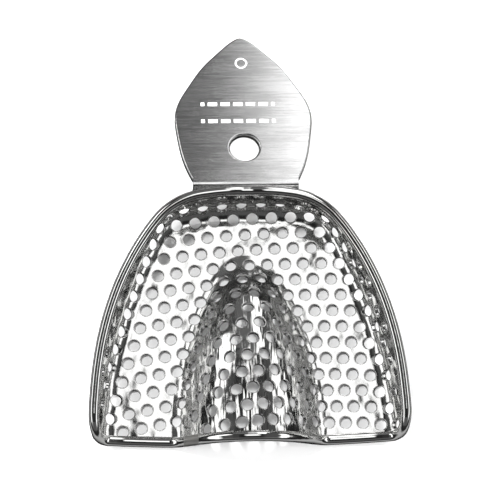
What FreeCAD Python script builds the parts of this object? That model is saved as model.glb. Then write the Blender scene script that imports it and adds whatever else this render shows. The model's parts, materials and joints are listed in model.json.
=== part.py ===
import FreeCAD, Part
import math
import os
from FreeCAD import Placement, Rotation, Vector

# Perforated metal impression tray for the upper jaw, in millimetres.
# +Z is up, away from the table, and +Y points forwards, towards the handle.
# It is drawn with y = 0 at the back edge of the sheet, and every finished
# piece is then shifted so that the origin is the bottom centre of its box.

SIZES = [
    # the pressed sheet
    ("sheet_thickness", 0.8),
    ("floor_fold_radius", 3.0),
    ("top_level", 13.0),
    # outline where the floor would meet the wall: three tangent arcs a side
    ("base_front", 46.64),
    ("base_front_radius", 73.6),
    ("base_front_angle", 9.5),
    ("base_corner_radius", 10.0),
    ("base_corner_angle", 59.3),
    ("base_side_radius", 149.8),
    # the same outline at the top level, so that the wall flares
    ("top_front", 46.5),
    ("top_front_radius", 64.6),
    ("top_front_angle", 8.05),
    ("top_corner_radius", 13.7),
    ("top_corner_angle", 39.9),
    ("top_side_radius", 56.7),
    # the back edge, which bows backwards in the middle
    ("back_bow", 0.85),
    ("back_half_width", 29.0),
    ("heel_middle", 27.0),
    # the palate vault
    ("vault_height", 9.3),
    ("vault_half_width", 13.1),
    ("vault_length", 32.4),
    ("vault_crown_power", 2.3),
    ("vault_narrowing", 1.3),
    ("vault_foot_blend", 1.8),
    ("vault_foot_drop", 0.7),
    ("vault_sink", 5.5),
    # the round perforations, in staggered rows
    ("hole_diameter", 2.3),
    ("hole_pitch", 3.754),
    ("row_spacing", 3.274),
    ("least_hole_distance", 2.8),
    ("first_hole_side", 2.29),
    ("first_hole_forward", 37.65),
    ("row_lean", 0.288),
    ("row_draw", 0.352),
    ("draw_width", 4.2),
    ("row_tilt", 0.196),
    ("row_bow", 0.0306),
    # the rim wire
    ("wire_radius", 1.05),
    ("wire_height_back", 6.22),
    ("wire_slope", 0.133),
    ("wire_overlap", 0.75),
    ("wire_bite", 0.05),
    ("heel_round", 4.6),
    ("heel_lift", 0.03),
    ("lip_notch_depth", 0.5),
    ("lip_notch_width", 2.6),
    ("joint_start", -13.2),
    ("joint_end", -10.4),
    # the handle
    ("handle_thickness", 1.6),
    ("handle_length", 35.1),
    ("handle_half_width", 13.98),
    ("handle_root_half_width", 10.7),
    ("handle_slope", 13.0),
    ("handle_root_forward", 48.5),
    ("handle_root_height", 10.3),
    ("handle_bend_radius", 0.25),
    ("handle_foot_bottom", 3.9),
    ("handle_foot_width", 21.2),
    ("backing_height", 4.4),
    ("backing_thickness", 2.2),
    ("backing_bite", 1.4),
    ("handle_hole_forward", 8.85),
    ("handle_hole_radius", 3.0),
    ("handle_hole_round", 0.4),
    # the spot welds between the handle's foot and the front wall
    ("weld_radius", 0.8),
    ("weld_length", 1.2),
]

# How far blanks and cutters run past the finished sheet.
BLANK_BACK_Y = -4.0
HOLLOW_BACK_Y = -6.0
VAULT_BACK_Y = -8.0
CUTTER_BACK_Y = -15.0
CUTTER_FRONT_Y = 60.0
CUTTER_TOP_Z = 30.0
CUTTER_SIDE_X = 50.0
VAULT_DEPTH = 16.0
# The vault's skin stops this short of its tip, so that its last row isn't a point.
VAULT_TIP_MARGIN = 0.01
# Least sheet left between a perforation and the back edge, and the wire.
HOLE_TO_BACK_EDGE = 0.4
HOLE_TO_WIRE = 0.15
# Highest perforation on a heel: its level at the back of the heel and how much it climbs.
HEEL_BACK_Y = -1.1
HEEL_HOLE_LEVEL = 0.9
HEEL_HOLE_CLIMB = 4.0
# A perforation is drilled square to the vault only where the vault's foot has sunk less than
# this, and up to this share of the vault's length. Beyond that the drill is upright.
VAULT_HOLE_SINK = 3.0
VAULT_HOLE_SHARE = 1.05
DRILL_REACH = 1.5
# How far the handle's plate and its bent foot overlap before they are fused.
PLATE_OVERLAP = 3.4

doc = FreeCAD.newDocument("impression_tray")
sheet = doc.addObject("Spreadsheet::Sheet", "Sizes")


def fill_sheet():
    for row, (alias, value) in enumerate(SIZES, start=1):
        sheet.set(f"A{row}", alias)
        sheet.set(f"B{row}", str(value))
        sheet.setAlias(f"B{row}", alias)
    doc.recompute()


fill_sheet()


def size(alias):
    return float(sheet.get(alias))


def radial(angle):
    """Unit vector in plan, at an angle from +Y towards +X."""
    return Vector(math.sin(angle), math.cos(angle), 0)


def mirrored(point):
    return Vector(-point.x, point.y, point.z)


# ---------------------------------------------------------------- outline

def outline_arcs(level, tail_y=BLANK_BACK_Y, offset=0.0):
    """Arcs of the right half of the outline, as (centre, radius, from, to)."""
    front = size(level + "_front")
    radii = [size(level + part) for part in ("_front_radius", "_corner_radius", "_side_radius")]
    turns = [math.radians(size(level + part)) for part in ("_front_angle", "_corner_angle")]
    centre = Vector(0, front - radii[0], 0)
    angle = 0.0
    arcs = []
    for index, radius in enumerate(radii):
        if index > 0:
            centre = centre + radial(angle) * (radii[index - 1] - radius)
        grown = radius + offset
        if index < 2:
            end = angle + turns[index]
        else:
            end = math.acos((tail_y - centre.y) / grown)
        arcs.append((centre, grown, angle, end))
        angle = end
    return arcs


def arc_edge(centre, radius, start, end, z, flip=False):
    points = [centre + radial(a) * radius + Vector(0, 0, z) for a in (start, (start + end) / 2, end)]
    if flip:
        points = [mirrored(p) for p in reversed(points)]
    return Part.Arc(*points).toShape()


def outline_wire(level, z, offset, tail_y):
    front, corner, side = outline_arcs(level, tail_y, offset)
    edges = [arc_edge(front[0], front[1], -front[3], front[3], z)]
    edges.append(arc_edge(*corner, z))
    edges.append(arc_edge(*side, z))
    back_right = side[0] + radial(side[3]) * side[1] + Vector(0, 0, z)
    edges.append(Part.makeLine(back_right, mirrored(back_right)))
    edges.append(arc_edge(*side, z, flip=True))
    edges.append(arc_edge(*corner, z, flip=True))
    return Part.Wire(edges)


def tub(offset, floor_z, fold_radius, tail_y):
    """Solid block with the tray's outline, flared walls and a folded foot."""
    bottom = outline_wire("base", floor_z, offset, tail_y)
    top = outline_wire("top", size("top_level"), offset, tail_y)
    block = Part.makeLoft([bottom, top], True, True)
    foot = [e for e in block.Edges
            if abs(e.CenterOfMass.z - floor_z) < 1e-6 and e.CenterOfMass.y > tail_y + 1]
    return block.makeFillet(fold_radius, foot)


# ------------------------------------------------------------ palate vault

def vault_level(x, y):
    """Height of the vault before its foot is blended into the floor."""
    q = max(y, 0.0) / size("vault_length")
    across = (abs(x) / size("vault_half_width")) ** size("vault_crown_power")
    narrowing = 1 + size("vault_narrowing") * q ** 2
    return size("vault_height") * (1 - narrowing * across - q ** 3)


def vault_z(x, y):
    """Height of the sheet's lower skin, with a rounded foot."""
    raw = vault_level(x, y)
    blend = size("vault_foot_blend")
    return (raw + math.sqrt(raw ** 2 + 4 * blend ** 2)) / 2 - size("vault_foot_drop")


def vault_normal(x, y):
    step = 0.001
    slope_x = (vault_z(x + step, y) - vault_z(x - step, y)) / (2 * step)
    slope_y = (vault_z(x, y + step) - vault_z(x, y - step)) / (2 * step)
    normal = Vector(-slope_x, -slope_y, 1)
    return normal.normalize()


def vault_edge_x(y, sink):
    """Half width at which the unblended vault has sunk this far."""
    q = max(y, 0.0) / size("vault_length")
    narrowing = 1 + size("vault_narrowing") * q ** 2
    left = (1 + sink / size("vault_height") - q ** 3) / narrowing
    return size("vault_half_width") * max(left, 0.0) ** (1 / size("vault_crown_power"))


def vault_block(offset, columns=31, rows=22):
    """Solid under the vault's skin, the skin moved outwards by the offset."""
    tip_y = size("vault_length") * (1 + size("vault_sink") / size("vault_height")) ** (1 / 3)
    front_y = tip_y - VAULT_TIP_MARGIN
    grid = []
    for row in range(rows):
        y = VAULT_BACK_Y + (front_y - VAULT_BACK_Y) * row / (rows - 1)
        half = vault_edge_x(y, size("vault_sink"))
        line = []
        for column in range(columns):
            x = half * math.sin(math.pi / 2 * (2 * column / (columns - 1) - 1))
            line.append(Vector(x, y, vault_z(x, y)) + vault_normal(x, y) * offset)
        grid.append(line)
    skin = Part.BSplineSurface()
    skin.interpolate(grid)
    return skin.toShape().extrude(Vector(0, 0, -VAULT_DEPTH))


# ------------------------------------------------------------- the rim line

def back_edge_y(x):
    """Back edge of the visible sheet, bowed backwards in the middle."""
    return -size("back_bow") * (1 - (x / size("back_half_width")) ** 2)


def wire_back_y(x):
    return back_edge_y(x) - size("wire_radius") + size("wire_bite")


def wire_z(y):
    return size("wire_height_back") + size("wire_slope") * y


def wall_frame(index, fraction):
    """Foot of the wall's middle surface, its outward direction and its flare."""
    thickness = size("sheet_thickness")
    centre, radius, start, end = outline_arcs("base", offset=thickness / 2)[index]
    angle = start + (end - start) * fraction
    foot = centre + radial(angle) * radius
    top_centre, top_radius, top_start, top_end = outline_arcs("top", offset=thickness / 2)[index]
    top_angle = top_start + (top_end - top_start) * fraction
    crest = top_centre + radial(top_angle) * top_radius
    lean = (crest - foot) * (1 / (size("top_level") - thickness / 2))
    return foot, radial(angle), lean


def wall_point(index, fraction, z):
    """Point of the wall's middle surface at a height, folded foot included."""
    thickness = size("sheet_thickness")
    foot, outward, lean = wall_frame(index, fraction)
    fold = size("floor_fold_radius") + thickness / 2
    rise = z - thickness / 2
    inset = 0.0
    if rise < fold:
        inset = fold - math.sqrt(max(fold ** 2 - (fold - rise) ** 2, 0.0))
    return foot + lean * rise - outward * inset + Vector(0, 0, z)


def side_fraction(y):
    """Place along the side arc of the base outline at which it reaches y."""
    centre, radius, start, end = outline_arcs("base", offset=size("sheet_thickness") / 2)[2]
    return (math.acos((y - centre.y) / radius) - start) / (end - start)


def lip_notch(x):
    return size("lip_notch_depth") * math.exp(-(x / size("lip_notch_width")) ** 2)


def wire_lift():
    """Height of the wire's centre over the lower skin, along the back edge."""
    return size("wire_radius") + size("heel_lift")


def rim_half():
    """Corners of the wire's centre line on the right: front, side, heel, back."""
    points = []
    stations = [(0, place) for place in (0.12, 0.35, 0.6, 0.85)]
    stations += [(1, place) for place in (0.1, 0.3, 0.5, 0.7, 0.9)]
    corner_y = wire_back_y(size("heel_middle")) + size("heel_round")
    last = side_fraction(corner_y + 1.2)
    stations += [(2, last * place) for place in (0.06, 0.2, 0.36, 0.52, 0.68, 0.84, 1.0)]
    for index, place in stations:
        foot, _, _ = wall_frame(index, place)
        point = wall_point(index, place, wire_z(foot.y))
        point.z -= lip_notch(point.x)
        points.append(point)
    # the wire rounds the heel: a quarter ellipse, seen from the side
    low = size("sheet_thickness") / 2
    high = wire_z(corner_y)
    for turn_degrees in (78, 60, 42, 24, 8):
        turn = math.radians(turn_degrees)
        z = low + (high - low) * math.sin(turn)
        y = corner_y - size("heel_round") * math.cos(turn)
        point = wall_point(2, side_fraction(y), z)
        lift = (wire_lift() - low) * math.cos(turn) ** 2
        points.append(point + Vector(-0.5 * lift * math.sin(turn), 0, lift))
    for x in (25.2, 22.0, 19.0, 16.8):
        points.append(Vector(x, wire_back_y(x), wire_lift()))
    for x in (15.0, 13.4, 11.8, 9.8, 7.4, 4.6, 1.6):
        y = wire_back_y(x)
        points.append(Vector(x, y, max(vault_z(x, y), 0.0)) + vault_normal(x, y) * wire_lift())
    return points


def rounded_path(points):
    """Straight runs joined by tangent arcs that take up most of each run."""
    edges = []
    reached = points[0]
    for before, corner, after in zip(points, points[1:], points[2:]):
        back = before - corner
        ahead = after - corner
        reach = 0.45 * min(back.Length, ahead.Length)
        half_turn = (math.pi - back.getAngle(ahead)) / 2
        radius = reach / math.tan(half_turn)
        start = corner + back.normalize() * reach
        end = corner + ahead.normalize() * reach
        bisector = (back + ahead).normalize()
        middle = corner + bisector * (radius / math.cos(half_turn) - radius)
        edges.append(Part.makeLine(reached, start))
        edges.append(Part.Arc(start, middle, end).toShape())
        reached = end
    edges.append(Part.makeLine(reached, points[-1]))
    return Part.Wire(edges)


def rim_path():
    """Centre line of the right half of the wire, from the middle of the front
    to the middle of the back, square to the middle plane at both ends."""
    points = rim_half()
    front = Vector(0, points[0].y, points[0].z)
    back = Vector(0, points[-1].y, points[-1].z)
    return rounded_path([front] + points + [back])


# ------------------------------------------------------------ perforations

def lattice_point(row, place):
    """Plan position of a perforation. Pressing the flat sheet over the palate
    draws each row further back inwards, over the arch but not beside it, and
    the rows lean a little and bow forwards in the middle."""
    u = place + row / 2
    drawn = size("row_draw") * math.tanh(u / size("draw_width"))
    x = size("first_hole_side") + size("hole_pitch") * u
    x += (drawn - size("row_lean")) * row
    y = size("first_hole_forward") + size("row_spacing") * row
    y += size("row_tilt") * u - size("row_bow") * u ** 2
    return x, y


def folded(x, y):
    """Where a plan point ends up once the sheet's border is folded up into
    the wall: the point of the middle surface and the direction of drilling."""
    thickness = size("sheet_thickness")
    fold = size("floor_fold_radius") + thickness / 2
    side = -1 if x < 0 else 1
    point = Vector(abs(x), y, 0)
    arcs = outline_arcs("base", offset=thickness / 2 - fold)
    for index, (centre, radius, start, end) in enumerate(arcs):
        spoke = point - centre
        angle = math.atan2(spoke.x, spoke.y)
        if start <= angle <= end or index == 2:
            break
    beyond = spoke.Length - radius
    if beyond <= 0:
        return None
    fraction = (angle - start) / (end - start)
    foot, outward, lean = wall_frame(index, fraction)
    flare = math.atan(lean.dot(outward))
    bend = math.pi / 2 - flare
    turned = min(beyond / fold, bend)
    straight = beyond - turned * fold
    radius_out = fold * math.sin(turned) + straight * math.cos(turned)
    height = thickness / 2 + fold * (1 - math.cos(turned)) + straight * math.sin(turned)
    place = foot + outward * (radius_out - fold) + Vector(0, 0, height)
    drill = outward * math.sin(turned) - Vector(0, 0, math.cos(turned))
    if side < 0:
        return mirrored(place), mirrored(drill)
    return place, drill


def hole_frame(x, y):
    """Centre and axis of the perforation for a plan point, or None."""
    thickness = size("sheet_thickness")
    radius = size("hole_diameter") / 2
    if y < back_edge_y(x) + HOLE_TO_BACK_EDGE:
        return None
    turned_up = folded(x, y)
    if turned_up is not None:
        place, drill = turned_up
        clear_of_wire = size("wire_radius") + radius + HOLE_TO_WIRE
        if place.z > wire_z(place.y) - clear_of_wire - lip_notch(place.x):
            return None
        along_heel = min((place.y - HEEL_BACK_Y) / size("heel_round"), 1.0)
        highest = HEEL_HOLE_LEVEL + HEEL_HOLE_CLIMB * along_heel
        if place.y < size("heel_round") and place.z > highest:
            return None
        return place, drill
    on_vault = abs(x) < vault_edge_x(y, VAULT_HOLE_SINK)
    if on_vault and y < VAULT_HOLE_SHARE * size("vault_length"):
        normal = vault_normal(x, y)
        return Vector(x, y, vault_z(x, y)) + normal * (thickness / 2), normal
    return Vector(x, y, thickness / 2), Vector(0, 0, 1)


def hole_frames():
    frames = []
    for row in range(-13, 8):
        for place in range(-20, 22):
            x, y = lattice_point(row, place)
            if abs(x) > 46 or y > 64:
                continue
            frame = hole_frame(x, y)
            if frame is None:
                continue
            near = size("least_hole_distance")
            if all((frame[0] - other[0]).Length > near for other in frames):
                frames.append(frame)
    return frames


def perforations():
    radius = size("hole_diameter") / 2
    drills = []
    for place, axis in hole_frames():
        start = place - axis * DRILL_REACH
        drills.append(Part.makeCylinder(radius, 2 * DRILL_REACH, start, axis))
    print("perforations", len(drills))
    return Part.makeCompound(drills)


# --------------------------------------------------------- the pressed sheet

def back_cutter():
    """Everything behind the sheet's back edge, which is an arc in plan."""
    half = 40.0
    inset = size("wire_radius") - size("wire_bite") - size("wire_overlap")
    corner = Vector(half, back_edge_y(half) - inset, -12)
    middle = Vector(0, back_edge_y(0) - inset, -12)
    far_right = Vector(half, -20, -12)
    edges = [Part.Arc(corner, middle, mirrored(corner)).toShape()]
    edges.append(Part.makeLine(mirrored(corner), mirrored(far_right)))
    edges.append(Part.makeLine(mirrored(far_right), far_right))
    edges.append(Part.makeLine(far_right, corner))
    return Part.Face(Part.Wire(edges)).extrude(Vector(0, 0, 40))


def wall_top_cutter():
    """Everything over the wall's sloping top and outside its rounded heels,
    apart from a column of room over the palate vault."""
    overlap = size("wire_overlap")
    x = -CUTTER_SIDE_X
    corner_y = wire_back_y(size("heel_middle")) + size("heel_round")
    low = size("sheet_thickness") / 2
    high = wire_z(corner_y)
    heel_y = corner_y - size("heel_round")
    start = Vector(x, corner_y, high - overlap)
    finish = Vector(x, heel_y + overlap, low)
    middle_turn = math.radians(45)
    middle = Vector(x,
                    corner_y - (size("heel_round") - overlap) * math.cos(middle_turn),
                    low + (high - overlap - low) * math.sin(middle_turn))
    edges = [Part.Arc(finish, middle, start).toShape()]
    outside = [
        start,
        Vector(x, CUTTER_FRONT_Y, wire_z(CUTTER_FRONT_Y) - overlap),
        Vector(x, CUTTER_FRONT_Y, CUTTER_TOP_Z),
        Vector(x, CUTTER_BACK_Y, CUTTER_TOP_Z),
        Vector(x, CUTTER_BACK_Y, low),
        finish,
    ]
    edges += [Part.makeLine(one, two) for one, two in zip(outside, outside[1:])]
    cutter = Part.Face(Part.Wire(edges)).extrude(Vector(2 * CUTTER_SIDE_X, 0, 0))
    room = Part.makeBox(40, 58, 60, Vector(-20, -20, -20))
    return cutter.cut(room)


def pressed_sheet():
    thickness = size("sheet_thickness")
    fold = size("floor_fold_radius")
    outside = tub(thickness, 0.0, fold + thickness, BLANK_BACK_Y).cut(vault_block(0.0))
    inside = tub(0.0, thickness, fold, HOLLOW_BACK_Y).cut(vault_block(thickness))
    blank = outside.cut(inside)
    blank = blank.cut(back_cutter())
    return blank.cut(wall_top_cutter())


def feature(name, shape, label=None):
    item = doc.addObject("Part::Feature", name)
    item.Shape = shape
    if label:
        item.Label = label
    return item


def boolean(kind, name, base, tool):
    item = doc.addObject("Part::" + kind, name)
    item.Base = base
    item.Tool = tool
    return item


def bind(item, **expressions):
    for prop, expression in expressions.items():
        item.setExpression(prop, expression)


# ------------------------------------------------------------------- wire

def wire_ring():
    """The whole rim wire: a round bar swept along the right half of its
    line, its mirror image, and the two fused."""
    spine = feature("wire_line", rim_path())
    start = spine.Shape.Vertexes[0].Point
    section = doc.addObject("Part::Circle", "wire_section")
    section.Placement = Placement(start, Rotation(Vector(0, 0, 1), Vector(1, 0, 0)))
    bind(section, Radius="Sizes.wire_radius")
    half = doc.addObject("Part::Sweep", "wire_half")
    half.Sections = [section]
    half.Spine = (spine, [f"Edge{number + 1}" for number in range(len(spine.Shape.Edges))])
    half.Solid = True
    other = doc.addObject("Part::Mirroring", "wire_other_half")
    other.Source = half
    other.Normal = Vector(1, 0, 0)
    return boolean("Fuse", "wire_ring", half, other)


def joint_block():
    """Box round the stretch of the back edge where the wire's ends meet."""
    block = doc.addObject("Part::Box", "joint_block")
    block.Placement.Base = Vector(size("joint_start"), -6, -2)
    bind(block, Length="Sizes.joint_end - Sizes.joint_start")
    block.Width = 8
    block.Height = 16
    return block


# ----------------------------------------------------------------- handle

def plane_of(body, role):
    return next(p for p in body.Origin.OriginFeatures if p.Role == role)


def new_sketch(body, name, role):
    sketch = body.newObject("Sketcher::SketchObject", name)
    sketch.AttachmentSupport = (plane_of(body, role), [""])
    sketch.MapMode = "FlatFace"
    return sketch


def handle_outline():
    """Closed outline of the spade, drawn forwards along the plate: one smooth
    curve round both sides and the tip, and a straight root."""
    root = size("handle_root_half_width")
    wide = size("handle_half_width")
    length = size("handle_length")
    right = [
        Vector(root, 1.6, 0),
        Vector(root + 1.95, 6.6, 0),
        Vector(wide - 0.25, 12.6, 0),
        Vector(wide, 16.2, 0),
        Vector(wide - 0.75, 19.4, 0),
        Vector(0.80 * wide, 23.2, 0),
        Vector(0.58 * wide, 27.9, 0),
        Vector(0.32 * wide, 31.8, 0),
        Vector(0.10 * wide, length - 0.55, 0),
    ]
    tip = Vector(0, length, 0)
    curve = Part.BSplineCurve()
    curve.interpolate(right + [tip] + [mirrored(p) for p in reversed(right)])
    return [curve, Part.LineSegment(mirrored(right[0]), right[0])]


def handle_plate():
    """The flat spade with its hole, its edges rounded over."""
    body = doc.addObject("PartDesign::Body", "handle_plate")
    outline = new_sketch(body, "handle_outline", "XY_Plane")
    outline.addGeometry(handle_outline(), False)
    pad = body.newObject("PartDesign::Pad", "handle_pad")
    pad.Profile = outline
    pad.Reversed = True
    bind(pad, Length="Sizes.handle_thickness")
    doc.recompute()
    hole = new_sketch(body, "handle_hole", "XY_Plane")
    circle = Part.Circle(Vector(0, size("handle_hole_forward"), 0), Vector(0, 0, 1),
                         size("handle_hole_radius"))
    hole.addGeometry(circle, False)
    pocket = body.newObject("PartDesign::Pocket", "handle_pocket")
    pocket.Profile = hole
    pocket.Type = "ThroughAll"
    pocket.Midplane = True
    doc.recompute()
    rounds = []
    for number, edge in enumerate(pocket.Shape.Edges, start=1):
        flat = edge.BoundBox.ZLength < 1e-6
        if flat and edge.BoundBox.YMax > 2:
            rounds.append(f"Edge{number}")
    fillet = body.newObject("PartDesign::Fillet", "handle_rounds")
    fillet.Base = (pocket, rounds)
    bind(fillet, Radius="Sizes.handle_hole_round")
    body.Tip = fillet
    body.Placement = Placement(Vector(0, size("handle_root_forward"), size("handle_root_height")),
                               Rotation(Vector(1, 0, 0), -size("handle_slope")))
    doc.recompute()
    return body


def handle_foot():
    """The strip that bends down from the plate and lies along the wall."""
    thickness = size("handle_thickness")
    outer = size("handle_bend_radius") + thickness
    slope = math.radians(size("handle_slope"))
    wall_y = size("base_front") + size("sheet_thickness")
    root = Vector(0, size("handle_root_forward"), size("handle_root_height"))
    along = Vector(0, math.cos(slope), -math.sin(slope))
    across = Vector(0, math.sin(slope), math.cos(slope))
    bend_y = wall_y + outer
    on_top = root + along * ((bend_y - root.y + outer * math.sin(slope)) / math.cos(slope))
    centre = on_top - across * outer
    plate_end = root + along * PLATE_OVERLAP
    wall_top = Vector(0, centre.y - outer, centre.z)
    middle_way = (across + Vector(0, -1, 0)).normalize()
    inner = size("handle_bend_radius")
    bottom = size("handle_foot_bottom")
    edges = [
        Part.makeLine(plate_end, on_top),
        Part.Arc(on_top, centre + middle_way * outer, wall_top).toShape(),
        Part.makeLine(wall_top, Vector(0, wall_top.y, bottom)),
        Part.makeLine(Vector(0, wall_top.y, bottom), Vector(0, wall_top.y + thickness, bottom)),
        Part.makeLine(Vector(0, wall_top.y + thickness, bottom), centre - Vector(0, inner, 0)),
        Part.Arc(centre - Vector(0, inner, 0), centre + middle_way * inner,
                 centre + across * inner).toShape(),
        Part.makeLine(centre + across * inner, plate_end - across * thickness),
        Part.makeLine(plate_end - across * thickness, plate_end),
    ]
    width = size("handle_foot_width")
    strip = Part.Face(Part.Wire(edges)).extrude(Vector(width, 0, 0))
    strip.translate(Vector(-width / 2, 0, 0))
    return feature("handle_foot", strip)


def foot_backing():
    """Filling behind the foot's sides, where the wall curves away from it. It
    reaches higher than the welds, so that none of them crosses its top edge."""
    block = doc.addObject("Part::Box", "foot_backing")
    bind(block, Length="Sizes.handle_foot_width", Width="Sizes.backing_thickness",
         Height="Sizes.backing_height")
    wall_y = size("base_front") + size("sheet_thickness")
    block.Placement.Base = Vector(-size("handle_foot_width") / 2, wall_y - size("backing_bite"),
                                  size("handle_foot_bottom"))
    return block


# Weld places on the front wall, as (x, z), each between three perforations.
WELDS = [(-8.5, 6.5), (-0.9, 6.5), (6.7, 7.2)]


def weld_nuggets():
    """Round nuggets, half in the wall and the rest in the handle's foot."""
    centre, radius, _, _ = outline_arcs("base", offset=size("sheet_thickness") / 2)[0]
    nuggets = []
    for x, z in WELDS:
        outward = radial(math.asin(x / radius))
        nugget = doc.addObject("Part::Cylinder", "weld_nugget")
        nugget.Placement = Placement(centre + outward * radius + Vector(0, 0, z),
                                     Rotation(Vector(0, 0, 1), outward))
        bind(nugget, Radius="Sizes.weld_radius", Height="Sizes.weld_length")
        nuggets.append(nugget)
    group = doc.addObject("Part::MultiFuse", "weld_group")
    group.Shapes = nuggets
    return group


# --------------------------------------------------------------- assembly

def box_middle_y():
    """Middle of the whole tray's box, from the wire's back to the tip."""
    rear = wire_back_y(0) - size("wire_radius")
    slope = math.radians(size("handle_slope"))
    tip = size("handle_root_forward") + size("handle_length") * math.cos(slope)
    return (rear + tip) / 2


def finished(item, label):
    item.Label = label
    item.Placement = Placement(Vector(0, -box_middle_y(), 0), Rotation())
    return item


def build():
    ring = wire_ring()
    gap = joint_block()
    welds = weld_nuggets()
    sheet_blank = feature("sheet_blank", pressed_sheet())
    drills = feature("perforation_drills", perforations())
    outer_fold = size("floor_fold_radius") + size("sheet_thickness")
    solid_wall = feature("wall_outside",
                         tub(size("sheet_thickness"), 0.0, outer_fold, BLANK_BACK_Y))
    drilled = boolean("Cut", "drilled_sheet", sheet_blank, drills)
    seated = boolean("Cut", "seated_sheet", drilled, ring)
    tray_shell = boolean("Cut", "tray_shell", seated, welds)

    rim_wire = boolean("Cut", "rim_wire", ring, gap)
    rim_braze = boolean("Common", "rim_braze_joint", ring, gap)

    plate = handle_plate()
    foot = boolean("Fuse", "foot_and_backing", handle_foot(), foot_backing())
    bent = boolean("Fuse", "bent_handle", plate, foot)
    fitted = boolean("Cut", "fitted_handle", bent, solid_wall)
    handle = boolean("Cut", "handle", fitted, welds)

    spot_welds = doc.addObject("Part::MultiFuse", "spot_welds")
    spot_welds.Shapes = welds.Shapes
    doc.recompute()

    parts = [
        finished(tray_shell, "tray_shell"),
        finished(rim_wire, "rim_wire"),
        finished(rim_braze, "rim_braze_joint"),
        finished(handle, "handle"),
        finished(spot_welds, "spot_welds"),
    ]
    doc.recompute()
    return parts


def check(parts):
    for item in doc.Objects:
        if "Invalid" in item.State or "Error" in item.State:
            raise RuntimeError(f"{item.Name} did not rebuild: {item.State}")
    for item in parts:
        shape = item.Shape
        if shape.isNull() or not shape.isValid():
            raise RuntimeError(f"{item.Label} has no valid shape")
        box = shape.BoundBox
        print(item.Label, "solids", len(shape.Solids), "volume", round(shape.Volume, 1),
              "box", [round(value, 2) for value in (box.XMin, box.YMin, box.ZMin,
                                                    box.XMax, box.YMax, box.ZMax)])


def export(parts):
    os.makedirs("parts", exist_ok=True)
    for item in parts:
        item.Shape.exportStep(f"parts/{item.Label}.step")


pieces = build()
check(pieces)
export(pieces)
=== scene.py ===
"""Studio scene of a perforated metal impression tray, seen from above on a white table.

The CAD nodes keep their shapes. Each gets a node-based metal, and the metal mirrors a dark studio
with soft white lights in it, which is what gives polished steel its light and dark bands.
All sizes are metres in the model's own frame.
"""

import json
import math

import bpy
from mathutils import Matrix, Vector


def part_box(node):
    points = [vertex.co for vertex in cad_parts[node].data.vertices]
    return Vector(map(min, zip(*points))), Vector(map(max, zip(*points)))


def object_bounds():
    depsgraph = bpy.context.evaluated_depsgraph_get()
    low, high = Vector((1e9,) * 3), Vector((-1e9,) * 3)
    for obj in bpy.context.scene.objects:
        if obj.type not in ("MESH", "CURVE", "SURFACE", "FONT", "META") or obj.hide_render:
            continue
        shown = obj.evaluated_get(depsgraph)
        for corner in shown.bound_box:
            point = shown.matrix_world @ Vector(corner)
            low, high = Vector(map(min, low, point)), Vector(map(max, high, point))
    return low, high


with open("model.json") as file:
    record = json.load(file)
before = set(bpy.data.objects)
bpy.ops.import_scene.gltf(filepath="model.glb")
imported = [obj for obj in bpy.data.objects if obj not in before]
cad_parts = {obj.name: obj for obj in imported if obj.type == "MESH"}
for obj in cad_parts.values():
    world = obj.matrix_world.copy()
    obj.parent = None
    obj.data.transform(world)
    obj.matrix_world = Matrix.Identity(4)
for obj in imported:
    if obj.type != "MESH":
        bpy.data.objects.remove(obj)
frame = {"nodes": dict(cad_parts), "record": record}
cad_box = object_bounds()

MM = 0.001
TO_RIGHT = Vector((1.0, 0.0, 0.0))
TO_FRONT = Vector((0.0, 1.0, 0.0))

# Camera: high over the bowl and a little to the heels' side, with the handle pointing up the view.
CAMERA_AIM = Vector((-0.0007, -0.0018, 0.005))
CAMERA_DISTANCE = 0.4031
CAMERA_TILT = math.radians(13.88)
CAMERA_YAW = math.radians(3.53)
CAMERA_ROLL = math.radians(-1.45)
CAMERA_CLIP_START = 0.01
SENSOR_WIDTH_MM = 36.0
LENS_MM = 148.5


# Small helpers for building node trees.


def new_material(name):
    """An empty node material and the Principled shader on its output."""
    material = bpy.data.materials.new(name)
    material.use_nodes = True
    return material, material.node_tree.nodes["Principled BSDF"]


def add(tree, kind, **settings):
    """A new node with some of its properties set."""
    node = tree.nodes.new(kind)
    for key, value in settings.items():
        setattr(node, key, value)
    return node


def link(tree, source, target):
    tree.links.new(source, target)


def math_node(tree, operation, first, second=None):
    """A math node. Each operand is a socket or a number."""
    node = add(tree, "ShaderNodeMath", operation=operation)
    for index, operand in enumerate((first, second)):
        if operand is None:
            continue
        if isinstance(operand, (int, float)):
            node.inputs[index].default_value = operand
        else:
            link(tree, operand, node.inputs[index])
    return node.outputs[0]


def product(tree, first, second):
    return math_node(tree, "MULTIPLY", first, second)


def distance_from(tree, value, middle):
    """How far a value is from a middle one."""
    return math_node(tree, "ABSOLUTE", math_node(tree, "SUBTRACT", value, middle))


def remap(tree, value, low, high, to_low, to_high):
    """value taken smoothly from low..high to to_low..to_high."""
    node = add(tree, "ShaderNodeMapRange", interpolation_type="SMOOTHSTEP")
    link(tree, value, node.inputs["Value"])
    node.inputs["From Min"].default_value = low
    node.inputs["From Max"].default_value = high
    node.inputs["To Min"].default_value = to_low
    node.inputs["To Max"].default_value = to_high
    return node.outputs["Result"]


def rising(tree, value, start, full):
    """0 up to start, then rising smoothly to 1 at full."""
    return remap(tree, value, start, full, 0.0, 1.0)


def falling(tree, value, full, end):
    """1 up to full, then falling smoothly to 0 at end."""
    return remap(tree, value, full, end, 1.0, 0.0)


def split_axes(tree, vector):
    """The X, Y and Z sockets of a vector."""
    node = add(tree, "ShaderNodeSeparateXYZ")
    link(tree, vector, node.inputs[0])
    return node.outputs


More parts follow.
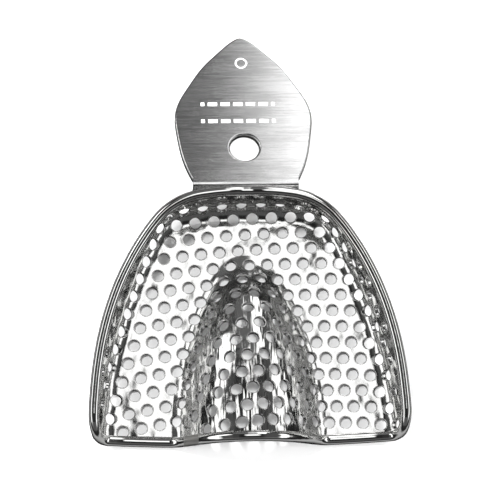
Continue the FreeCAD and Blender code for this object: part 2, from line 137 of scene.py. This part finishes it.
def dot_product(tree, vector, fixed):
    """The dot product of a vector socket with a fixed vector."""
    node = add(tree, "ShaderNodeVectorMath", operation="DOT_PRODUCT")
    link(tree, vector, node.inputs[0])
    node.inputs[1].default_value = fixed
    return node.outputs["Value"]


def object_point(tree, stretch=(1.0, 1.0, 1.0)):
    """The surface point in the model's frame, scaled along each axis."""
    place = add(tree, "ShaderNodeTexCoord").outputs["Object"]
    mapping = add(tree, "ShaderNodeMapping")
    mapping.inputs["Scale"].default_value = stretch
    link(tree, place, mapping.inputs["Vector"])
    return mapping.outputs["Vector"]


def noise(tree, point, per_metre, detail=3.0, roughness=0.5):
    """Noise with a feature about every 1/per_metre metres."""
    node = add(tree, "ShaderNodeTexNoise")
    node.inputs["Scale"].default_value = per_metre
    node.inputs["Detail"].default_value = detail
    node.inputs["Roughness"].default_value = roughness
    link(tree, point, node.inputs["Vector"])
    return node.outputs["Fac"]


# Finishes, one for each slot of the record.


BEVEL_SAMPLES = 6


def metal(name, base_colour=None):
    """A plain metal to build a finish on. A finish that varies its colour gives none here."""
    material, shader = new_material(name)
    shader.inputs["Metallic"].default_value = 1.0
    if base_colour is not None:
        shader.inputs["Base Color"].default_value = (*base_colour, 1.0)
    return material, material.node_tree, shader


def bump(tree, shader, height, depth, edge_round=None):
    """Tilts the surface as a relief of that depth would, over edges eased to a small radius."""
    node = add(tree, "ShaderNodeBump")
    node.inputs["Distance"].default_value = depth
    node.inputs["Strength"].default_value = 1.0
    link(tree, height, node.inputs["Height"])
    if edge_round is not None:
        eased = add(tree, "ShaderNodeBevel", samples=BEVEL_SAMPLES)
        eased.inputs["Radius"].default_value = edge_round
        link(tree, eased.outputs["Normal"], node.inputs["Normal"])
    link(tree, node.outputs["Normal"], shader.inputs["Normal"])


def vary_roughness(tree, shader, pattern, spread, roughness):
    """Lets the roughness follow a pattern, from the first of its range to the second."""
    link(tree, remap(tree, pattern, *spread, *roughness), shader.inputs["Roughness"])


# The marks of pressing are given as features per metre and as shares of the ripples' depth.
SWELLS_PER_METRE = 120.0
SWELL_SHARE = 2.8
RIPPLES_PER_METRE = 300.0
GRAIN_PER_METRE = 2400.0
GRAIN_SHARE = 0.03
# The press flutes the palate: ridges that run back to front, fading out towards the floor.
FLUTES_PER_METRE = 620.0
FLUTE_STRETCH = (1.0, 0.14, 0.14)
FLUTE_SHARE = 1.3
FLUTE_FROM_HEIGHT = 1.5 * MM
FLUTE_FULL_HEIGHT = 5.0 * MM
RIPPLE_DEPTH = 0.20 * MM
HOLE_EDGE_ROUND = 0.36 * MM


def pressing_relief(tree):
    """Height of the marks that pressing leaves: soft ripples all over and flutes on the palate."""
    place = object_point(tree)
    swell = noise(tree, place, SWELLS_PER_METRE, detail=1.0)
    ripple = noise(tree, place, RIPPLES_PER_METRE, detail=1.0)
    grain = noise(tree, place, GRAIN_PER_METRE, detail=2.0)
    flutes = noise(tree, object_point(tree, FLUTE_STRETCH), FLUTES_PER_METRE, detail=2.0)
    height = split_axes(tree, place)["Z"]
    on_palate = remap(tree, height, FLUTE_FROM_HEIGHT, FLUTE_FULL_HEIGHT, 0.0, FLUTE_SHARE)
    relief = math_node(tree, "ADD", ripple, product(tree, swell, SWELL_SHARE))
    relief = math_node(tree, "ADD", relief, product(tree, grain, GRAIN_SHARE))
    return math_node(tree, "ADD", relief, product(tree, flutes, on_palate))


def sheet_steel():
    """Pressed perforated sheet: bright and rippled, with the edges of its holes eased."""
    material, tree, shader = metal("sheet_steel", base_colour=(0.82, 0.82, 0.81))
    bump(tree, shader, pressing_relief(tree), depth=RIPPLE_DEPTH, edge_round=HOLE_EDGE_ROUND)
    wear = noise(tree, object_point(tree), per_metre=500.0, detail=4.0)
    vary_roughness(tree, shader, wear, spread=(0.35, 0.70), roughness=(0.07, 0.17))
    return material


def wire_steel():
    """Polished round wire, very slightly wavy and here and there a little duller."""
    material, tree, shader = metal("wire_steel", base_colour=(0.88, 0.88, 0.87))
    waves = noise(tree, object_point(tree), per_metre=420.0, detail=2.0)
    bump(tree, shader, waves, depth=0.03 * MM)
    smears = noise(tree, object_point(tree), per_metre=900.0, detail=3.0)
    vary_roughness(tree, shader, smears, spread=(0.35, 0.75), roughness=(0.05, 0.10))
    return material


def braze():
    """Filed silver braze: satin, a little warmer and duller than the wire."""
    material, tree, shader = metal("braze", base_colour=(0.62, 0.61, 0.59))
    along_x = object_point(tree, stretch=(1.0, 6.0, 6.0))
    scratches = noise(tree, along_x, per_metre=900.0, detail=3.0)
    bump(tree, shader, scratches, depth=0.02 * MM)
    vary_roughness(tree, shader, scratches, spread=(0.3, 0.7), roughness=(0.28, 0.42))
    return material


def weld():
    """Weld nuggets, as they come: grey and rough."""
    material, tree, shader = metal("weld", base_colour=(0.58, 0.58, 0.57))
    bump(tree, shader, noise(tree, object_point(tree), per_metre=1800.0), depth=0.02 * MM)
    heat = noise(tree, object_point(tree), per_metre=700.0)
    vary_roughness(tree, shader, heat, spread=(0.3, 0.7), roughness=(0.38, 0.55))
    return material


# The handle's marks are measured up the plate from the middle of its hole.
SIZE_RING_UP = 19.95 * MM
SIZE_RING_RADIUS = 1.1 * MM
SIZE_RING_WIDTH = 0.32 * MM
BAR_ROWS_UP = (6.15 * MM, 10.15 * MM)
BAR_HALF_HEIGHT = 0.42 * MM
BAR_HALF_LENGTH = 7.6 * MM
BAR_MIDDLE_X = -1.0 * MM
BAR_PITCH = 2.6 * MM
BAR_SHARE = 0.72
MARK_EDGE = 0.05 * MM
# Etching leaves a mark white and matt, and sinks it by a share of the brushing's relief.
MARK_WHITE = 0.95
MARK_ROUGHNESS = 0.6
MARK_METAL_LOSS = 0.9
MARK_SINK_SHARE = 0.8

# The handle's plate is brushed from side to side, so its patterns are drawn out along x.
BRUSHING_STRETCH = (0.03, 1.0, 1.0)
BRUSHING_DEPTH = 0.012 * MM
BRUSHING_SPREAD = (0.30, 0.70)
BRUSHING_ROUGHNESS = (0.10, 0.22)
STREAK_STRETCH = (0.05, 1.0, 1.0)
SMEAR_STRETCH = (0.4, 1.0, 1.0)
PLATE_WEAR_SPREAD = (0.80, 1.20)
PLATE_GREYS = (0.69, 0.87)


def handle_axes():
    """The middle of the handle's hole and the direction up the plate, from the record's mount."""
    mounts = frame["record"]["mounts"]
    hole = next(mount for mount in mounts if mount["name"] == "handle_hole")
    through = Vector(hole["axis"]).normalized()
    return Vector(hole["pos_m"]), through.cross(TO_RIGHT).normalized()


def inside(tree, distance, half_width):
    """1 where the distance is under half_width, falling to 0 over a thin edge."""
    return falling(tree, distance, half_width - MARK_EDGE, half_width + MARK_EDGE)


def place_on_plate(tree):
    """How far a point is across the handle's plate from its middle, and up it from its hole."""
    hole, up_plate = handle_axes()
    place = add(tree, "ShaderNodeTexCoord").outputs["Object"]
    up = math_node(tree, "SUBTRACT", dot_product(tree, place, up_plate), hole.dot(up_plate))
    return split_axes(tree, place)["X"], up


def ring_mark(tree, across, up):
    """The ring near the handle's tip."""
    sides = (distance_from(tree, up, SIZE_RING_UP), math_node(tree, "ABSOLUTE", across))
    squares = [math_node(tree, "POWER", side, 2.0) for side in sides]
    radius = math_node(tree, "SQRT", math_node(tree, "ADD", *squares))
    return inside(tree, distance_from(tree, radius, SIZE_RING_RADIUS), SIZE_RING_WIDTH / 2)


def bar_row(tree, across, up, row_up):
    """A row of short bars, at that height up the plate."""
    from_middle = math_node(tree, "SUBTRACT", across, BAR_MIDDLE_X)
    in_length = inside(tree, math_node(tree, "ABSOLUTE", from_middle), BAR_HALF_LENGTH)
    in_pitch = math_node(tree, "PINGPONG", from_middle, BAR_PITCH / 2)
    in_bar = inside(tree, in_pitch, BAR_SHARE * BAR_PITCH / 2)
    in_row = inside(tree, distance_from(tree, up, row_up), BAR_HALF_HEIGHT)
    return product(tree, product(tree, in_row, in_length), in_bar)


def etched_marks(tree):
    """Mask of the plain etched marks: a ring near the handle's tip and two rows of short bars."""
    across, up = place_on_plate(tree)
    mask = ring_mark(tree, across, up)
    for row_up in BAR_ROWS_UP:
        mask = math_node(tree, "MAXIMUM", mask, bar_row(tree, across, up, row_up))
    return mask


def plate_grey(tree):
    """The plate's grey, in side-to-side streaks and broader smears."""
    streaks = noise(tree, object_point(tree, STREAK_STRETCH), per_metre=2400.0, detail=4.0)
    smear_point = object_point(tree, SMEAR_STRETCH)
    smears = noise(tree, smear_point, per_metre=280.0, detail=5.0, roughness=0.6)
    wear = math_node(tree, "ADD", streaks, smears)
    return remap(tree, wear, *PLATE_WEAR_SPREAD, *PLATE_GREYS)


def handle_steel():
    """Plate brushed from side to side and a little smeared, with matt white etched marks."""
    material, tree, shader = metal("handle_steel")
    brush_point = object_point(tree, BRUSHING_STRETCH)
    brushing = noise(tree, brush_point, per_metre=9000.0, detail=4.0, roughness=0.7)
    marks = etched_marks(tree)
    relief = math_node(tree, "SUBTRACT", brushing, product(tree, marks, MARK_SINK_SHARE))
    bump(tree, shader, relief, depth=BRUSHING_DEPTH)

    brushed = remap(tree, brushing, *BRUSHING_SPREAD, *BRUSHING_ROUGHNESS)
    roughness = math_node(tree, "MAXIMUM", brushed, product(tree, marks, MARK_ROUGHNESS))
    link(tree, roughness, shader.inputs["Roughness"])
    metallic = math_node(tree, "SUBTRACT", 1.0, product(tree, marks, MARK_METAL_LOSS))
    link(tree, metallic, shader.inputs["Metallic"])

    tone = add(tree, "ShaderNodeMix", data_type="RGBA")
    link(tree, marks, tone.inputs["Factor"])
    link(tree, plate_grey(tree), tone.inputs["A"])
    tone.inputs["B"].default_value = (MARK_WHITE, MARK_WHITE, MARK_WHITE, 1.0)
    link(tree, tone.outputs["Result"], shader.inputs["Base Color"])
    return material


def dress_nodes():
    """Gives each CAD node the finish that the record names for it."""
    finishes = {
        "sheet_steel": sheet_steel(),
        "wire_steel": wire_steel(),
        "braze": braze(),
        "handle_steel": handle_steel(),
        "weld": weld(),
    }
    for subpart in frame["record"]["subparts"]:
        for slot in frame["nodes"][subpart["node"]].material_slots:
            slot.material = finishes[subpart["material_slot"]]


# The studio.


# The table is a plain pale sheet. The metal doesn't mirror it, and sees the dark room instead.
TABLE_HALF_SIZE = 1.2
TABLE_GAP = 0.05 * MM
TABLE_WHITE = 0.9
TABLE_ROUGHNESS = 0.9
TABLE_SPECULAR = 0.1
TABLE_GLOW = 0.07


def plane(name, middle, across, up):
    """A flat sheet with the given half sides."""
    mesh = bpy.data.meshes.new(name)
    corners = [middle + a * across + b * up for a, b in ((-1, -1), (1, -1), (1, 1), (-1, 1))]
    mesh.from_pydata(corners, [], [(0, 1, 2, 3)])
    sheet = bpy.data.objects.new(name, mesh)
    bpy.context.scene.collection.objects.link(sheet)
    return sheet


def table():
    """A plain white sheet under the tray."""
    lowest = cad_box[0][2]
    middle = Vector((0.0, 0.0, lowest - TABLE_GAP))
    sheet = plane("table", middle, TABLE_HALF_SIZE * TO_RIGHT, TABLE_HALF_SIZE * TO_FRONT)
    material, shader = new_material("table_white")
    shader.inputs["Base Color"].default_value = (TABLE_WHITE, TABLE_WHITE, TABLE_WHITE, 1.0)
    shader.inputs["Roughness"].default_value = TABLE_ROUGHNESS
    shader.inputs["Specular IOR Level"].default_value = TABLE_SPECULAR
    shader.inputs["Emission Color"].default_value = (1.0, 1.0, 1.0, 1.0)
    shader.inputs["Emission Strength"].default_value = TABLE_GLOW
    sheet.data.materials.append(material)
    sheet.visible_glossy = False


# The dome is dark, with a long white softbox overhead, a strip window to each side, a small lamp
# and some grey walls. Directions are unit vectors with z up and y towards the handle, and
# brightness is a share of display white.
DOME_GREY = 0.018
SOFTBOX_WHITE = 1.35
SOFTBOX_MIDDLE = (0.062, 0.17)
SOFTBOX_HALF = (0.09, 0.16)
SOFTBOX_EDGE = (0.11, 0.16)
SOFTBOX_FULL_Z = 0.2
WINDOW_WHITE = 1.4
WINDOW_MIDDLE_Z = 0.50
WINDOW_HALF_Z = 0.10
WINDOW_EDGE_Z = 0.07
WINDOW_FROM_X = 0.62
WINDOW_EDGE_X = 0.12
# Grey walls stand to each side and behind the tray's back edge, some way above the horizon. The
# handle mirrors the back one to a viewer in front of it.
SIDE_GREY = 0.06
SIDE_GREY_FROM_X = 0.22
SIDE_GREY_FULL_X = 0.55
BACK_GREY = 0.07
BACK_GREY_FROM_Y = -0.50
BACK_GREY_FULL_Y = -0.66
WALLS_FROM_Z = 0.15
WALLS_FULL_Z = 0.45
# Below the horizon the room pales towards the horizon, which lifts the wire's lower half.
LOW_GREY = 0.42
LOW_GREY_FROM_Z = -0.80
LOW_GREY_FULL_Z = -0.20
LOW_GREY_END_Z = -0.02
# A small round lamp on the front left, that puts a highlight on slopes which face it.
LAMP_TOWARDS = (-0.60, 0.52, 0.61)
LAMP_WHITE = 1.6
LAMP_HALF_ANGLE = math.radians(8.0)
LAMP_EDGE = math.radians(5.0)


def softbox(tree, axes):
    """1 inside the overhead softbox, a soft-edged rectangle seen from the tray."""
    level = rising(tree, axes["Z"], 0.0, SOFTBOX_FULL_Z)
    for axis, middle, half, edge in zip("XY", SOFTBOX_MIDDLE, SOFTBOX_HALF, SOFTBOX_EDGE):
        off = distance_from(tree, axes[axis], middle)
        level = product(tree, level, falling(tree, off, half, half + edge))
    return level


def side_windows(tree, axes):
    """1 inside a level strip of light to each side."""
    sideways = math_node(tree, "ABSOLUTE", axes["X"])
    beside = rising(tree, sideways, WINDOW_FROM_X, WINDOW_FROM_X + WINDOW_EDGE_X)
    off = distance_from(tree, axes["Z"], WINDOW_MIDDLE_Z)
    return product(tree, beside, falling(tree, off, WINDOW_HALF_Z, WINDOW_HALF_Z + WINDOW_EDGE_Z))


def side_walls(tree, axes):
    """1 high up to each side."""
    sideways = math_node(tree, "ABSOLUTE", axes["X"])
    beside = rising(tree, sideways, SIDE_GREY_FROM_X, SIDE_GREY_FULL_X)
    return product(tree, beside, rising(tree, axes["Z"], WALLS_FROM_Z, WALLS_FULL_Z))


def back_wall(tree, axes):
    """1 high up behind the tray's back edge."""
    behind = falling(tree, axes["Y"], BACK_GREY_FULL_Y, BACK_GREY_FROM_Y)
    return product(tree, behind, rising(tree, axes["Z"], WALLS_FROM_Z, WALLS_FULL_Z))


def below_horizon(tree, axes):
    """1 a little below the horizon, fading out up to it and further down."""
    over = rising(tree, axes["Z"], LOW_GREY_FROM_Z, LOW_GREY_FULL_Z)
    under = falling(tree, axes["Z"], LOW_GREY_FULL_Z, LOW_GREY_END_Z)
    return product(tree, over, under)


def round_lamp(tree, direction):
    """1 inside the round lamp."""
    towards = dot_product(tree, direction, Vector(LAMP_TOWARDS).normalized())
    off = math_node(tree, "ARCCOSINE", towards)
    return falling(tree, off, LAMP_HALF_ANGLE, LAMP_HALF_ANGLE + LAMP_EDGE)


def dome():
    """The surroundings that the metal reflects."""
    world = bpy.data.worlds.new("studio_dome")
    world.use_nodes = True
    tree = world.node_tree
    direction = add(tree, "ShaderNodeTexCoord").outputs["Generated"]
    axes = split_axes(tree, direction)
    glows = (
        (softbox(tree, axes), SOFTBOX_WHITE - DOME_GREY),
        (side_windows(tree, axes), WINDOW_WHITE - DOME_GREY),
        (side_walls(tree, axes), SIDE_GREY),
        (round_lamp(tree, direction), LAMP_WHITE),
        (below_horizon(tree, axes), LOW_GREY),
        (back_wall(tree, axes), BACK_GREY),
    )
    lit = 0.0
    for mask, strength in glows:
        lit = math_node(tree, "ADD", lit, product(tree, mask, strength))
    background = tree.nodes["Background"]
    background.inputs["Color"].default_value = (1.0, 1.0, 1.0, 1.0)
    link(tree, math_node(tree, "ADD", lit, DOME_GREY), background.inputs["Strength"])
    bpy.context.scene.world = world


# A graded card for the handle to mirror, dark at its left end and white at its right. The camera
# doesn't see it, and it neither casts a shadow nor lights anything but the metal that mirrors it.
CARD_DISTANCE = 0.12
CARD_HALF_SIZE = 0.07
CARD_DARK = 0.13
CARD_WHITE = 1.6
CARD_DARK_X = 0.0
CARD_WHITE_X = 0.027


def graded_glow():
    """The card's glow, which grows from left to right."""
    material = bpy.data.materials.new("graded_card")
    material.use_nodes = True
    tree = material.node_tree
    tree.nodes.clear()
    across = split_axes(tree, add(tree, "ShaderNodeTexCoord").outputs["Object"])["X"]
    level = remap(tree, across, CARD_DARK_X, CARD_WHITE_X, CARD_DARK, CARD_WHITE)
    glow = add(tree, "ShaderNodeEmission")
    link(tree, level, glow.inputs["Strength"])
    output = add(tree, "ShaderNodeOutputMaterial")
    link(tree, glow.outputs["Emission"], output.inputs["Surface"])
    return material


def handle_card():
    """The graded card, hung where the handle mirrors it to the camera."""
    low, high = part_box("handle")
    middle = (Vector(low) + Vector(high)) / 2
    up_plate = handle_axes()[1]
    normal = TO_RIGHT.cross(up_plate).normalized()
    to_camera = (camera_place() - middle).normalized()
    mirrored = 2 * normal.dot(to_camera) * normal - to_camera
    up_card = mirrored.cross(TO_RIGHT).normalized()
    place = middle + CARD_DISTANCE * mirrored
    card = plane("handle_card", place, CARD_HALF_SIZE * TO_RIGHT, CARD_HALF_SIZE * up_card)
    card.visible_camera = False
    card.visible_diffuse = False
    card.visible_shadow = False
    card.data.materials.append(graded_glow())


# The key stands on the front left.
KEY_PLACE = (-0.26, 0.26, 0.86)
KEY_SIDE = 0.10
KEY_WATTS = 5.4
# Four low lights whiten the table round the tray, while the walls keep its floor in shade. Their
# turns are degrees clockwise from the front, seen from above. None stands at the open back, where
# it would shine in under the palate.
LOW_LIGHT_TURNS = (-100.0, -35.0, 35.0, 100.0)
LOW_LIGHT_DISTANCE = 0.80
LOW_LIGHT_HEIGHT = 0.16
LOW_LIGHT_SIDE = 0.28
LOW_LIGHT_WATTS = 13.0


def soft_light(name, place, side, watts):
    """A square soft light aimed at the tray. The metal doesn't mirror it."""
    data = bpy.data.lights.new(name, "AREA")
    data.shape = "SQUARE"
    data.size = side
    data.energy = watts
    light = bpy.data.objects.new(name, data)
    light.location = place
    light.rotation_euler = (CAMERA_AIM - light.location).to_track_quat("-Z", "Y").to_euler()
    light.visible_glossy = False
    bpy.context.scene.collection.objects.link(light)


def lights():
    """A key from the front left, which shades one side of each hole, and the low lights."""
    soft_light("key", KEY_PLACE, KEY_SIDE, KEY_WATTS)
    for number, degrees in enumerate(LOW_LIGHT_TURNS):
        turn = math.radians(degrees)
        place = (
            LOW_LIGHT_DISTANCE * math.sin(turn),
            LOW_LIGHT_DISTANCE * math.cos(turn),
            LOW_LIGHT_HEIGHT,
        )
        soft_light(f"low_light_{number}", place, LOW_LIGHT_SIDE, LOW_LIGHT_WATTS)


def camera_back():
    """Direction from the point looked at back to the camera."""
    return Vector(
        (
            -math.sin(CAMERA_YAW) * math.cos(CAMERA_TILT),
            -math.sin(CAMERA_TILT),
            math.cos(CAMERA_YAW) * math.cos(CAMERA_TILT),
        )
    )


def camera_place():
    return CAMERA_AIM + CAMERA_DISTANCE * camera_back()


def camera():
    """The camera, placed by its tilt and yaw about the point that it looks at."""
    data = bpy.data.cameras.new("camera")
    data.sensor_width = SENSOR_WIDTH_MM
    data.lens = LENS_MM
    data.clip_start = CAMERA_CLIP_START
    back = camera_back()
    right = TO_FRONT.cross(back).normalized()
    up = back.cross(right)
    turn = Matrix.Rotation(CAMERA_ROLL, 3, back)
    axes = Matrix((turn @ right, turn @ up, back)).transposed()
    view = bpy.data.objects.new("camera", data)
    view.matrix_world = Matrix.Translation(camera_place()) @ axes.to_4x4()
    bpy.context.scene.collection.objects.link(view)
    bpy.context.scene.camera = view


dress_nodes()
table()
dome()
handle_card()
lights()
camera()
bpy.context.scene.view_settings.view_transform = "Standard"
